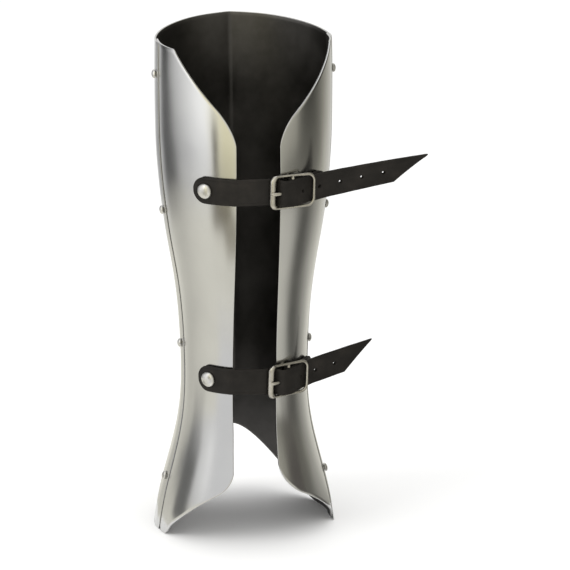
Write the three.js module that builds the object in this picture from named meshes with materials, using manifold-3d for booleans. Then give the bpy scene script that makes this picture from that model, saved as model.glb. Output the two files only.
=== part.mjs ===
// A plate greave for the left leg, in millimetres with +Z up, standing on the two lobes of its ankle rim.
// The shin faces -Y, the open calf faces +Y and the outer side of the leg is +X.
// A shin plate laps over two calf plates, and eight rivets join the three. Two leather straps cross the open calf.
// Each strap is riveted to the outer calf plate and closed by a centre-bar buckle, which a folded leather tab
// holds on the inner calf plate.

import * as THREE from "three";
import { mergeVertices } from "three/addons/utils/BufferGeometryUtils.js";
import Module from "manifold-3d";

const wasm = await Module();
wasm.setup();

// Sizes of the shell
const greaveHeight = 398;
const calfHalfWidth = 66;
const shinDepth = 65;
const calfDepth = 76.5;
const plateWall = 1.5;
const clearance = 0.3;
const leatherGap = 0.8;
const shinRidge = 4;
const shinRidgeSpread = 9;
const lapWidth = 14;
const topDip = 5;

// Sizes of the cut edges
const instepRise = 58;
const heelRise = 50;
const rearGap = 33;
const rearFlare = 3;
const rearFlareHeight = 90;
const notchDepth = 61;
const notchCornerRadius = 14;

// Sizes of the rivets
const sideRivetRadius = 3.5;
const sideRivetDome = 2.4;
const strapRivetRadius = 6;
const strapRivetDome = 3.6;
const tabRivetRadius = 4;
const tabRivetDome = 1.8;
const shankRadius = 2;
const tailRadius = 3.4;
const tailThickness = 1.1;
const tailGap = 0.6;
const lowestRivet = 42;
const topRivetDrop = 31;

// Sizes of the leather
const strapWidth = 21;
const strapThickness = 2.2;
const strapPoint = 27;
const tabWidth = 20.6;
const tabThickness = 1.5;
const tabRivetReach = 25;
const holeRadius = 1.4;
const holeSpacing = 18;
const firstHoleFromTip = 36;

// Sizes of the buckle
const buckleLength = 38;
const buckleHeight = 27;
const buckleCorner = 4.5;
const keeperCorner = 5.5;
const wireRadius = 1.1;
const endBarRadius = 2.4;
const centreBarRadius = 1.2;
const tongueWall = 1.5;
const tongueWidth = 2.6;
const buckleReach = 25;

// Places of the two straps, the upper one down from the top edge and the lower one up from the ankle rim. Their
// rivets are set off from the middle of the calf. Each tail rises and spreads from the leg towards its tip.
const upperStrapDrop = 109;
const upperRivetOffset = 39.5;
const upperTailLength = 95;
const upperTailRise = 10;
const upperTailSpread = 5;
const lowerStrapHeight = 132.5;
const lowerRivetOffset = 34.5;
const lowerTailLength = 64;
const lowerTailRise = 9;
const lowerTailSpread = 2;

// The two straps, with the buckle's turn as a share of the plate's and the tail's twist in degrees
const straps = [
  {
    name: "upper",
    height: greaveHeight - upperStrapDrop,
    rivetOffset: upperRivetOffset,
    turn: 0.62,
    tail: upperTailLength,
    rise: upperTailRise,
    spread: upperTailSpread,
    twist: 24,
  },
  {
    name: "lower",
    height: lowerStrapHeight,
    rivetOffset: lowerRivetOffset,
    turn: 0.8,
    tail: lowerTailLength,
    rise: lowerTailRise,
    spread: lowerTailSpread,
    twist: 6,
  },
];

// The cut of the two calf plates, with the angle where the ankle rim starts to rise in degrees
const calfCuts = {
  outer: { side: 1, riseFrom: 103, cornerRadius: 12, notchReach: 55 },
  inner: { side: -1, riseFrom: 88, cornerRadius: 20, notchReach: 68 },
};

// The inside of the calf plates at even steps of height from the ankle rim to the top, as shares of
// calfHalfWidth, shinDepth and calfDepth
const sections = [
  { width: 1.041, shin: 1.44, calf: 0.967 },
  { width: 0.979, shin: 1.32, calf: 0.92 },
  { width: 0.871, shin: 1.14, calf: 0.845 },
  { width: 0.771, shin: 0.95, calf: 0.755 },
  { width: 0.715, shin: 0.855, calf: 0.695 },
  { width: 0.711, shin: 0.834, calf: 0.704 },
  { width: 0.723, shin: 0.845, calf: 0.74 },
  { width: 0.752, shin: 0.872, calf: 0.79 },
  { width: 0.806, shin: 0.905, calf: 0.862 },
  { width: 0.879, shin: 0.935, calf: 0.928 },
  { width: 0.938, shin: 0.963, calf: 0.975 },
  { width: 0.98, shin: 0.985, calf: 1.0 },
  { width: 1.0, shin: 1.0, calf: 1.0 },
  { width: 1.003, shin: 1.015, calf: 0.975 },
  { width: 1.003, shin: 1.045, calf: 0.935 },
  { width: 0.995, shin: 1.09, calf: 0.895 },
];

// How far the shin plate stands off the form, clear of the calf plates that it laps
const shinLift = plateWall + 1.6 * clearance;

// Where the notch meets the gap, and the uppermost side rivets
const notchHeight = greaveHeight - notchDepth;
const highestRivet = greaveHeight - topRivetDrop;

// Angles round the leg, from 0 at the shin ridge through 90 at the side to 180 at the middle of the calf
const degrees = Math.PI / 180;
const seamAngle = 90 * degrees;
const lobeFrontAngle = 66 * degrees;
const heelAngle = 166 * degrees;

// Faces of the meshes
const shinColumns = 22;
const calfColumns = 8;
const cornerColumns = 4;
const plateRows = 24;
const roundSides = 10;
const wireSides = 8;

const materials = {
  steel: new THREE.MeshStandardMaterial({ color: 0xc4c3be, roughness: 0.28, metalness: 1 }),
  rivet: new THREE.MeshStandardMaterial({ color: 0xd2d1cc, roughness: 0.25, metalness: 1 }),
  leather: new THREE.MeshStandardMaterial({ color: 0x2c2622, roughness: 0.62, metalness: 0 }),
  buckle: new THREE.MeshStandardMaterial({ color: 0xcac6ba, roughness: 0.22, metalness: 1 }),
};

const mix = THREE.MathUtils.lerp;

function smoothStep(t) {
  const s = THREE.MathUtils.clamp(t, 0, 1);
  return s * s * (3 - 2 * s);
}

// One column of the section table at a share of the height, as a cubic B-spline that ends on the table's end rows
function sectionValue(column, share) {
  const last = sections.length - 1;
  const at = THREE.MathUtils.clamp(share, 0, 1) * last;
  const start = Math.min(Math.floor(at), last - 1);
  const t = at - start;
  const value = (i) => {
    if (i < 0) return 2 * sections[0][column] - sections[1][column];
    if (i > last) return 2 * sections[last][column] - sections[last - 1][column];
    return sections[i][column];
  };
  const weights = [(1 - t) ** 3, 3 * t ** 3 - 6 * t ** 2 + 4, 3 * (t + t ** 2 - t ** 3) + 1, t ** 3];
  return weights.reduce((sum, weight, k) => sum + (weight * value(start - 1 + k)) / 6, 0);
}

const halfWidthAt = (height) => calfHalfWidth * sectionValue("width", height / greaveHeight);

// The inside of the calf plates, on which everything else is laid
function formPoint(angle, height) {
  const share = height / greaveHeight;
  const x = calfHalfWidth * sectionValue("width", share) * Math.sin(angle);
  const front = Math.cos(angle) > 0;
  const depth = front ? shinDepth * sectionValue("shin", share) : calfDepth * sectionValue("calf", share);
  const ridge = shinRidge * Math.exp(-Math.abs(angle) / (shinRidgeSpread * degrees));
  return new THREE.Vector3(x, -depth * Math.cos(angle) - ridge, height);
}

// A point lifted off that form with its height kept, and the directions out of, up and round the form there
function formFrame(angle, height, lift) {
  const step = 0.01;
  const round = formPoint(angle + step, height).sub(formPoint(angle - step, height)).normalize();
  const up = formPoint(angle, height + step).sub(formPoint(angle, height - step)).normalize();
  const out = new THREE.Vector3().crossVectors(round, up).normalize();
  const level = Math.hypot(out.x, out.y);
  const point = formPoint(angle, height);
  point.x += (out.x * lift) / level ** 2;
  point.y += (out.y * lift) / level ** 2;
  return { point, out, up, round };
}

// Heights of the cut edges at an angle round the leg
function shinRim(angle) {
  return instepRise * smoothStep(1 - Math.abs(angle) / lobeFrontAngle);
}

function calfRim(angle, riseFrom) {
  const t = THREE.MathUtils.clamp((angle - riseFrom) / (heelAngle - riseFrom), 0, 1);
  return heelRise * 0.5 * (t + Math.sin((t * Math.PI) / 2)) * smoothStep(t / 0.15);
}

function topHeight(angle) {
  return greaveHeight - topDip * Math.sin(Math.min(angle, seamAngle)) ** 2;
}

// The angle of the open gap's edge at a height. The gap widens towards the heel.
function gapAngle(height) {
  const low = Math.max(1 - height / rearFlareHeight, 0);
  return Math.PI - Math.asin((rearGap / 2 + rearFlare * low) / halfWidthAt(height));
}

// How far a corner of a radius is cut back at a distance from its edge
function cornerCut(distance, radius) {
  const inside = Math.max(radius - distance, 0);
  return radius - Math.sqrt(radius ** 2 - inside ** 2);
}

// A closed plate over a grid of columns and rows, where place gives the point at a column, a row and a face
function plateGeometry(columns, rows, place) {
  const positions = [];
  const triangles = [];
  for (const face of [0, 1])
    for (let row = 0; row <= rows; row++)
      for (let column = 0; column <= columns; column++) positions.push(...place(column, row, face).toArray());
  const index = (column, row, face) => (face * (rows + 1) + row) * (columns + 1) + column;
  const quad = (a, b, c, d) => triangles.push(a, b, c, a, c, d);
  for (let row = 0; row < rows; row++)
    for (let column = 0; column < columns; column++) {
      const corner = (face) => [
        index(column, row, face),
        index(column + 1, row, face),
        index(column + 1, row + 1, face),
        index(column, row + 1, face),
      ];
      quad(...corner(1));
      quad(...corner(0).reverse());
    }
  for (let column = 0; column < columns; column++) {
    quad(index(column, 0, 0), index(column + 1, 0, 0), index(column + 1, 0, 1), index(column, 0, 1));
    quad(index(column, rows, 1), index(column + 1, rows, 1), index(column + 1, rows, 0), index(column, rows, 0));
  }
  for (let row = 0; row < rows; row++) {
    quad(index(0, row, 1), index(0, row + 1, 1), index(0, row + 1, 0), index(0, row, 0));
    quad(index(columns, row, 0), index(columns, row + 1, 0), index(columns, row + 1, 1), index(columns, row, 1));
  }
  const geometry = new THREE.BufferGeometry();
  geometry.setAttribute("position", new THREE.BufferAttribute(new Float32Array(positions), 3));
  geometry.setIndex(triangles);
  return geometry;
}

// Between three.js geometry and manifold-3d solids. A geometry that faces inwards is turned round.
function toSolid(geometry) {
  const bare = geometry.index ? geometry.toNonIndexed() : geometry.clone();
  const placed = new THREE.BufferGeometry().setAttribute("position", bare.getAttribute("position"));
  const merged = mergeVertices(placed, 1e-4);
  const vertProperties = new Float32Array(merged.attributes.position.array);
  const triVerts = new Uint32Array(merged.index.array);
  const solid = new wasm.Manifold(new wasm.Mesh({ numProp: 3, vertProperties, triVerts }));
  if (solid.volume() > 0) return solid;
  const turned = triVerts.slice().reverse();
  return new wasm.Manifold(new wasm.Mesh({ numProp: 3, vertProperties, triVerts: turned }));
}

function toGeometry(solid) {
  const mesh = solid.getMesh();
  const geometry = new THREE.BufferGeometry();
  geometry.setAttribute("position", new THREE.BufferAttribute(mesh.vertProperties, 3));
  geometry.setIndex(new THREE.BufferAttribute(mesh.triVerts, 1));
  geometry.computeVertexNormals();
  return geometry;
}

const greave = new THREE.Group();

function add(name, solid, material) {
  const mesh = new THREE.Mesh(toGeometry(solid), material);
  mesh.name = name;
  greave.add(mesh);
}

// A round bar between two points
function rod(from, to, radius, sides) {
  const geometry = new THREE.CylinderGeometry(radius, radius, from.distanceTo(to), sides);
  geometry.applyQuaternion(
    new THREE.Quaternion().setFromUnitVectors(new THREE.Vector3(0, 1, 0), to.clone().sub(from).normalize()),
  );
  const middle = from.clone().lerp(to, 0.5);
  geometry.translate(middle.x, middle.y, middle.z);
  return toSolid(geometry);
}

// A hole for a rivet's shank, through all that lies under a seat. The seat is lift off the form.
function shankHole(seat, lift) {
  const inside = seat.point.clone().addScaledVector(seat.out, -2 * lift);
  const outside = seat.point.clone().addScaledVector(seat.out, lift);
  return rod(inside, outside, shankRadius + clearance, roundSides);
}

// A domed rivet. Its head stands on seat and its tail is grip below that, along out.
function rivetSolid(seat, out, radius, dome, grip) {
  const profile = [new THREE.Vector2(0, -grip - tailThickness)];
  profile.push(new THREE.Vector2(tailRadius * 0.7, -grip - tailThickness));
  profile.push(new THREE.Vector2(tailRadius, -grip));
  profile.push(new THREE.Vector2(shankRadius, -grip));
  profile.push(new THREE.Vector2(shankRadius, 0));
  for (let k = 0; k <= 3; k++) {
    const t = (k / 4) * (Math.PI / 2);
    profile.push(new THREE.Vector2(radius * Math.cos(t), dome * Math.sin(t)));
  }
  profile.push(new THREE.Vector2(0, dome));
  const geometry = new THREE.LatheGeometry(profile, roundSides);
  geometry.applyQuaternion(new THREE.Quaternion().setFromUnitVectors(new THREE.Vector3(0, 1, 0), out));
  geometry.translate(seat.x, seat.y, seat.z);
  return toSolid(geometry);
}

// The shin plate, which lies over the edges of the calf plates
function shinPlate() {
  const lap = lapWidth / 2 / calfHalfWidth;
  return toSolid(
    plateGeometry(shinColumns, plateRows, (column, row, face) => {
      const angle = mix(-seamAngle - lap, seamAngle + lap, column / shinColumns);
      const height = mix(shinRim(angle), topHeight(Math.abs(angle)), row / plateRows);
      return formFrame(angle, height, shinLift + face * plateWall).point;
    }),
  );
}

// One calf plate, on the outer side of the leg at side 1 and on the inner side at -1
function calfPlate({ side, riseFrom, cornerRadius, notchReach }) {
  const lap = lapWidth / 2 / calfHalfWidth;
  const columns = calfColumns + cornerColumns;
  const widest = Math.max(cornerRadius, notchCornerRadius);
  const shareAt = (column) => {
    const cornerShare = widest / ((gapAngle(notchHeight) - seamAngle + lap) * calfHalfWidth);
    if (column <= calfColumns) return mix(0, 1 - cornerShare, column / calfColumns);
    const turn = ((column - calfColumns) / cornerColumns) * (Math.PI / 2);
    return 1 - cornerShare * (1 - Math.sin(turn));
  };
  return toSolid(
    plateGeometry(columns, plateRows, (column, row, face) => {
      const share = shareAt(side > 0 ? column : columns - column);
      const angleAt = (height) => mix(seamAngle - lap, gapAngle(height), share);
      const rimEdge = (gapAngle(heelRise) - angleAt(heelRise)) * halfWidthAt(heelRise);
      const topEdge = (gapAngle(notchHeight) - angleAt(notchHeight)) * halfWidthAt(notchHeight);
      const low = calfRim(angleAt(heelRise), riseFrom * degrees) + cornerCut(rimEdge, cornerRadius);
      const notch = mix(notchHeight, topHeight(seamAngle), Math.min(topEdge / notchReach, 1));
      const high = notch - cornerCut(topEdge, notchCornerRadius);
      const height = mix(low, high, row / plateRows);
      return formFrame(side * angleAt(height), height, face * plateWall).point;
    }),
  );
}

// A leather strip through stations, each with a point, an up direction and the reach of its two edges
function strip(stations, thickness) {
  const rings = stations.map((station, i) => {
    const before = stations[Math.max(i - 1, 0)].point;
    const after = stations[Math.min(i + 1, stations.length - 1)].point;
    const along = after.clone().sub(before).normalize();
    const across = station.up.clone().addScaledVector(along, -station.up.dot(along)).normalize();
    across.applyAxisAngle(along, station.roll || 0);
    const out = new THREE.Vector3().crossVectors(along, across);
    const corner = (edge, layer) =>
      station.point.clone().addScaledVector(across, edge).addScaledVector(out, (layer * thickness) / 2);
    return [
      corner(-station.down, -1),
      corner(station.above, -1),
      corner(station.above, 1),
      corner(-station.down, 1),
    ];
  });
  const positions = rings.flat().flatMap((p) => p.toArray());
  const triangles = [0, 2, 1, 0, 3, 2];
  for (let i = 0; i < rings.length - 1; i++)
    for (let k = 0; k < 4; k++) {
      const [a, b] = [i * 4 + k, i * 4 + ((k + 1) % 4)];
      triangles.push(a, b, b + 4, a, b + 4, a + 4);
    }
  const end = (rings.length - 1) * 4;
  triangles.push(end, end + 1, end + 2, end, end + 2, end + 3);
  const geometry = new THREE.BufferGeometry();
  geometry.setAttribute("position", new THREE.BufferAttribute(new Float32Array(positions), 3));
  geometry.setIndex(triangles);
  return toSolid(geometry);
}

// Smooth stations through a list of stations, with their distance along the strip
function smoothed(stations, steps) {
  const fine = [];
  const pick = (i) => stations[THREE.MathUtils.clamp(i, 0, stations.length - 1)];
  const blend = (a, b, c, d, t) =>
    a.clone().multiplyScalar(-t + 2 * t ** 2 - t ** 3)
      .addScaledVector(b, 2 - 5 * t ** 2 + 3 * t ** 3)
      .addScaledVector(c, t + 4 * t ** 2 - 3 * t ** 3)
      .addScaledVector(d, t ** 3 - t ** 2)
      .multiplyScalar(0.5);
  for (let i = 0; i < stations.length - 1; i++)
    for (let k = 0; k < steps; k++) {
      const four = [pick(i - 1), pick(i), pick(i + 1), pick(i + 2)];
      fine.push({
        point: blend(...four.map((s) => s.point), k / steps),
        up: blend(...four.map((s) => s.up), k / steps).normalize(),
      });
    }
  fine.push(pick(stations.length - 1));
  let distance = 0;
  return fine.map((station, i) => {
    if (i) distance += station.point.distanceTo(fine[i - 1].point);
    return { point: station.point, up: station.up, distance };
  });
}

// The station at a distance along a smoothed list
function stationAt(fine, distance) {
  const after = Math.max(fine.findIndex((s) => s.distance >= distance), 1);
  const [a, b] = [fine[after - 1], fine[after]];
  const t = (distance - a.distance) / (b.distance - a.distance);
  return { point: a.point.clone().lerp(b.point, t), up: a.up.clone().lerp(b.up, t).normalize() };
}

// How far a rounded end of a strip reaches from its middle at a distance from its tip
function roundEnd(distance, half) {
  const inside = Math.max(half - distance, 0);
  return Math.sqrt(half ** 2 - inside ** 2);
}

// The axes of a buckle: u runs level towards the strap's free end, v out of the leg, and w up along the plate
function buckleFrame(strap) {
  const angle = buckleReach / halfWidthAt(strap.height) - Math.PI;
  const seat = formFrame(angle, strap.height, plateWall);
  const turn = Math.atan2(-seat.out.x, seat.out.y) * strap.turn;
  const along = new THREE.Vector3(-Math.cos(turn), -Math.sin(turn), 0);
  const up = seat.up.clone().addScaledVector(along, -seat.up.dot(along)).normalize();
  const out = new THREE.Vector3().crossVectors(along, up);
  const at = (u, v, w = 0) =>
    seat.point.clone().addScaledVector(along, u).addScaledVector(out, v).addScaledVector(up, w);
  const axes = new THREE.Matrix4().makeBasis(along, out, up).setPosition(seat.point);
  return { at, up, axes, angle };
}

// Heights of the stacked pieces above the calf plate at a buckle
const foldRadius = centreBarRadius + leatherGap + tabThickness;
const barLift = foldRadius + leatherGap;
const endBarPlace = -(buckleLength / 2 - endBarRadius);
const keeperPlace = buckleLength / 2 - wireRadius;
const tongueTop = barLift + endBarRadius + clearance + tongueWall / 2;

// The strap's stations, from its riveted end round the leg, through the buckle and out along its free end
function strapStations(strap, frame) {
  const lift = plateWall + leatherGap + strapThickness / 2;
  const halfWidth = halfWidthAt(strap.height);
  const rivetAngle = Math.PI - strap.rivetOffset / halfWidth;
  const startAngle = rivetAngle - strapWidth / 2 / (halfWidth + lift);
  const edgeAngle = gapAngle(strap.height);
  const wraps = 9;
  const stations = [];
  for (let i = 0; i <= wraps; i++) {
    const seat = formFrame(mix(startAngle, edgeAngle, i / wraps), strap.height, lift);
    stations.push({ point: seat.point, up: seat.up });
  }
  const half = strapThickness / 2;
  const underEnd = barLift - endBarRadius - leatherGap - half;
  const overBar = barLift + foldRadius + clearance + half;
  const overTongue = tongueTop + tongueWall / 2 + clearance + half;
  const underKeeper = barLift - wireRadius - leatherGap - half;
  const wrapRadius = endBarRadius + 1.2 * leatherGap + half;
  const through = [
    [endBarPlace - wrapRadius, underEnd - 0.9],
    [endBarPlace, underEnd],
    [endBarPlace + wrapRadius * 0.75, barLift - wrapRadius * 0.72],
    [endBarPlace + wrapRadius * 1.15, barLift + wrapRadius * 0.2],
    [endBarPlace + wrapRadius * 1.5, mix(barLift, overTongue, 0.78)],
    [endBarPlace + wrapRadius * 2.1, overTongue],
    [0, overBar],
    [keeperPlace * 0.5, mix(overBar, underKeeper, 0.5)],
    [keeperPlace * 0.75, mix(overBar, underKeeper, 0.82)],
    [keeperPlace * 0.87, mix(overBar, underKeeper, 0.93)],
    [keeperPlace, underKeeper],
  ];
  for (const [u, v] of through) stations.push({ point: frame.at(u, v), up: frame.up });
  const tailSteps = 8;
  for (let i = 1; i <= tailSteps; i++) {
    const t = i / tailSteps;
    const rise = strap.rise * t;
    const drop = wireRadius * (1 - t);
    const point = frame.at(keeperPlace + strap.tail * t, underKeeper - drop + strap.spread * t ** 2, rise);
    stations.push({ point, up: frame.up });
  }
  return stations;
}

// A strap, its rivet and its holes
function addStrap(strap, frame, plates) {
  const fine = smoothed(strapStations(strap, frame), 6);
  const length = fine[fine.length - 1].distance;
  const half = strapWidth / 2;
  const bendEnd = length - strap.tail;
  const bendStart = bendEnd - buckleLength * 1.35;
  const distances = [0.15, 0.06 * half, 0.25 * half, 0.55 * half, half];
  const stretch = (from, to, step) => {
    const count = Math.max(Math.round((to - from) / step), 1);
    for (let i = 1; i <= count; i++) distances.push(mix(from, to, i / count));
  };
  stretch(half, bendStart, 6);
  stretch(bendStart, bendEnd, 1.8);
  stretch(bendEnd, length - strapPoint, 9);
  stretch(length - strapPoint, length, strapPoint / 3);
  const stations = distances.map((distance) => {
    const station = stationAt(fine, distance);
    const tailShare = Math.max((distance - bendEnd) / strap.tail, 0);
    const pointShare = Math.max((distance - length + strapPoint) / strapPoint, 0);
    const reach = roundEnd(distance, half);
    const roll = strap.twist * degrees * tailShare;
    return { ...station, above: reach, down: reach - pointShare * 2 * half * 0.97, roll };
  });
  let solid = strip(stations, strapThickness);

  for (let place = length - firstHoleFromTip; place > bendEnd - keeperPlace; place -= holeSpacing) {
    const before = stationAt(fine, place - 1).point;
    const after = stationAt(fine, place + 1).point;
    const through = new THREE.Vector3().crossVectors(after.clone().sub(before), frame.up).normalize();
    const middle = stationAt(fine, place).point;
    const reach = through.multiplyScalar(strapThickness * 2.5);
    solid = solid.subtract(rod(middle.clone().sub(reach), middle.clone().add(reach), holeRadius, roundSides));
  }
  solid = solid.subtract(tongueSolid(frame, clearance + 0.1));

  const angle = Math.PI - strap.rivetOffset / halfWidthAt(strap.height);
  const lift = plateWall + leatherGap + strapThickness + clearance;
  const seat = formFrame(angle, strap.height, lift);
  const hole = shankHole(seat, lift);
  plates.outer = plates.outer.subtract(hole);
  add(strap.name + "_strap", solid.subtract(hole), materials.leather);
  const rivet = rivetSolid(seat.point, seat.out, strapRivetRadius, strapRivetDome, lift + tailGap);
  add(strap.name + "_strap_rivet", rivet, materials.rivet);
}

// A solid of an outline in a buckle's u and v, of a width up and down
function frameExtrusion(shape, frame, width) {
  const geometry = new THREE.ExtrudeGeometry(shape, { depth: width, bevelEnabled: false, curveSegments: 5 });
  geometry.translate(0, 0, -width / 2);
  return toSolid(geometry.applyMatrix4(frame.axes));
}

// The tongue is a ring round the centre bar with an arm that rests on the end bar. It grows by swell on all sides
// where it cuts its own way through the strap.
function tongueSolid(frame, swell) {
  const outer = centreBarRadius + clearance + tongueWall;
  const ring = new THREE.Shape().absarc(0, barLift, outer + swell, 0, Math.PI * 2);
  if (!swell) ring.holes.push(new THREE.Path().absarc(0, barLift, centreBarRadius + clearance, 0, Math.PI * 2));
  const half = tongueWall / 2 + swell;
  const rootRadius = centreBarRadius + clearance + tongueWall / 2;
  const tip = endBarPlace - endBarRadius * 0.9;
  const arm = new THREE.Shape();
  arm.moveTo(-rootRadius * 0.45, barLift + rootRadius * 0.9 - half);
  arm.lineTo(-rootRadius * 0.45, barLift + rootRadius * 0.9 + half);
  arm.lineTo(endBarPlace + endBarRadius, tongueTop + half);
  arm.lineTo(endBarPlace, tongueTop + half);
  arm.lineTo(tip - swell, tongueTop - 0.6 + half * 0.5);
  arm.lineTo(tip - swell, tongueTop - 0.6 - half * 0.5);
  arm.lineTo(endBarPlace, tongueTop - half);
  const width = tongueWidth + 2 * swell;
  return frameExtrusion(ring, frame, width).add(frameExtrusion(arm, frame, width));
}

// The buckle's frame is a rounded loop of wire, thicker at the end bar and rounder at the keeper, with a bar
// across its middle
function buckleSolid(frame) {
  const top = buckleHeight / 2 - wireRadius;
  const cornerSteps = 4;
  const loop = [];
  const arc = (u, w, corner, from) => {
    for (let k = 0; k <= cornerSteps; k++) {
      const turn = from + (k / cornerSteps) * (Math.PI / 2);
      loop.push([u + corner * Math.cos(turn), w + corner * Math.sin(turn)]);
    }
  };
  arc(keeperPlace - keeperCorner, top - keeperCorner, keeperCorner, 0);
  loop.push([0, top]);
  arc(endBarPlace + buckleCorner, top - buckleCorner, buckleCorner, Math.PI / 2);
  arc(endBarPlace + buckleCorner, -top + buckleCorner, buckleCorner, Math.PI);
  loop.push([0, -top]);
  arc(keeperPlace - keeperCorner, -top + keeperCorner, keeperCorner, (3 * Math.PI) / 2);
  const count = loop.length;
  const positions = [];
  const triangles = [];
  loop.forEach(([u, w], i) => {
    const [beforeU, beforeW] = loop[(i + count - 1) % count];
    const [afterU, afterW] = loop[(i + 1) % count];
    const along = new THREE.Vector2(afterU - beforeU, afterW - beforeW).normalize();
    const nearEnd = smoothStep((endBarPlace + buckleCorner - u) / buckleCorner);
    const radius = mix(wireRadius, endBarRadius, nearEnd);
    for (let k = 0; k < wireSides; k++) {
      const turn = ((k + 0.5) / wireSides) * Math.PI * 2;
      const side = radius * Math.cos(turn);
      const point = frame.at(u + along.y * side, barLift + radius * Math.sin(turn), w - along.x * side);
      positions.push(...point.toArray());
      const next = (i + 1) % count;
      const turned = (k + 1) % wireSides;
      const [a, b] = [i * wireSides + k, i * wireSides + turned];
      const [c, d] = [next * wireSides + turned, next * wireSides + k];
      triangles.push(a, b, c, a, c, d);
    }
  });
  const geometry = new THREE.BufferGeometry();
  geometry.setAttribute("position", new THREE.BufferAttribute(new Float32Array(positions), 3));
  geometry.setIndex(triangles);
  const bar = rod(frame.at(0, barLift, -top), frame.at(0, barLift, top), centreBarRadius, wireSides);
  return toSolid(geometry).add(bar);
}

// The tab folds round the centre bar, and one rivet fastens both of its layers to the inner calf plate
function addTab(strap, frame, plates) {
  const half = tabThickness / 2;
  const loopRadius = centreBarRadius + leatherGap + half;
  const halfWidth = halfWidthAt(strap.height);
  const tabEnd = tabRivetReach + tabWidth / 2 - 1;
  const layer = (level) => {
    const lift = plateWall + leatherGap + half + level * (tabThickness + clearance);
    const found = [];
    for (const reach of [tabEnd, tabRivetReach, tabRivetReach * 0.72, tabRivetReach * 0.5]) {
      const seat = formFrame(frame.angle + reach / halfWidth, strap.height, lift);
      found.push({ point: seat.point, up: seat.up });
    }
    return found;
  };
  const fold = [];
  for (let k = 0; k <= 6; k++) {
    const turn = -Math.PI / 2 - (k / 6) * Math.PI;
    fold.push({
      point: frame.at(loopRadius * Math.cos(turn), barLift + loopRadius * Math.sin(turn)),
      up: frame.up,
    });
  }
  const fine = smoothed([...layer(0), ...fold, ...layer(1).reverse()], 5);
  const length = fine[fine.length - 1].distance;
  const reachHalf = tabWidth / 2;
  const ends = [0.15, 0.08 * reachHalf, 0.3 * reachHalf, 0.62 * reachHalf, reachHalf];
  const distances = [...ends];
  const bend = 9;
  const steps = (from, to, count) => {
    for (let i = 1; i <= count; i++) distances.push(mix(from, to, i / count));
  };
  steps(reachHalf, length / 2 - bend, 4);
  steps(length / 2 - bend, length / 2 + bend, 12);
  steps(length / 2 + bend, length - reachHalf, 4);
  distances.push(...ends.slice(0, -1).reverse().map((d) => length - d));
  const stations = distances.map((distance) => {
    const reach = roundEnd(Math.min(distance, length - distance), reachHalf);
    return { ...stationAt(fine, distance), above: reach, down: reach };
  });
  const slotLength = 2 * (foldRadius + clearance);
  const slot = new THREE.BoxGeometry(slotLength, 2 * slotLength, tongueWidth + 2 * clearance);
  slot.translate(0, barLift, 0);
  slot.applyMatrix4(frame.axes);

  const rivetAngle = frame.angle + tabRivetReach / halfWidth;
  const lift = plateWall + leatherGap + 2 * clearance + 2 * tabThickness;
  const seat = formFrame(rivetAngle, strap.height, lift);
  const hole = shankHole(seat, lift);
  plates.inner = plates.inner.subtract(hole);
  const solid = strip(stations, tabThickness).subtract(toSolid(slot)).subtract(hole);
  add(strap.name + "_buckle_tab", solid, materials.leather);
  const rivet = rivetSolid(seat.point, seat.out, tabRivetRadius, tabRivetDome, lift + tailGap);
  add(strap.name + "_tab_rivet", rivet, materials.rivet);
}

// The plates with their side rivets
const plates = { shin: shinPlate(), outer: calfPlate(calfCuts.outer), inner: calfPlate(calfCuts.inner) };
const sideRivets = 4;
for (const [key, { side }] of Object.entries(calfCuts))
  for (let i = 0; i < sideRivets; i++) {
    const height = mix(lowestRivet, highestRivet, i / (sideRivets - 1));
    const lift = shinLift + plateWall + clearance;
    const seat = formFrame(side * seamAngle, height, lift);
    const hole = shankHole(seat, lift);
    plates.shin = plates.shin.subtract(hole);
    plates[key] = plates[key].subtract(hole);
    const rivet = rivetSolid(seat.point, seat.out, sideRivetRadius, sideRivetDome, lift + tailGap);
    add(`${key}_side_rivet_${i + 1}`, rivet, materials.rivet);
  }

// The straps with their buckles
for (const strap of straps) {
  const frame = buckleFrame(strap);
  addStrap(strap, frame, plates);
  add(strap.name + "_buckle_frame", buckleSolid(frame), materials.buckle);
  add(strap.name + "_buckle_tongue", tongueSolid(frame, 0), materials.buckle);
  addTab(strap, frame, plates);
}

add("shin_plate", plates.shin, materials.steel);
add("outer_calf_plate", plates.outer, materials.steel);
add("inner_calf_plate", plates.inner, materials.steel);

// The part's origin is the middle of its bounding box, at the height of the ankle rim
const bounds = new THREE.Box3().setFromObject(greave);
greave.position.set(-(bounds.min.x + bounds.max.x) / 2, -(bounds.min.y + bounds.max.y) / 2, 0);

export default greave;
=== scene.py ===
# The greave's visual model, in metres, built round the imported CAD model.
# Shapes are worked out in millimetres in the leg's own axes, as in the CAD: +Z up the leg, -Y towards the
# shin ridge and +X towards the outer side of a left leg. Angles run from 0 at the ridge to half a turn at
# the calf.

import math

import bmesh
import bpy
from mathutils import Matrix, Vector, noise


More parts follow.
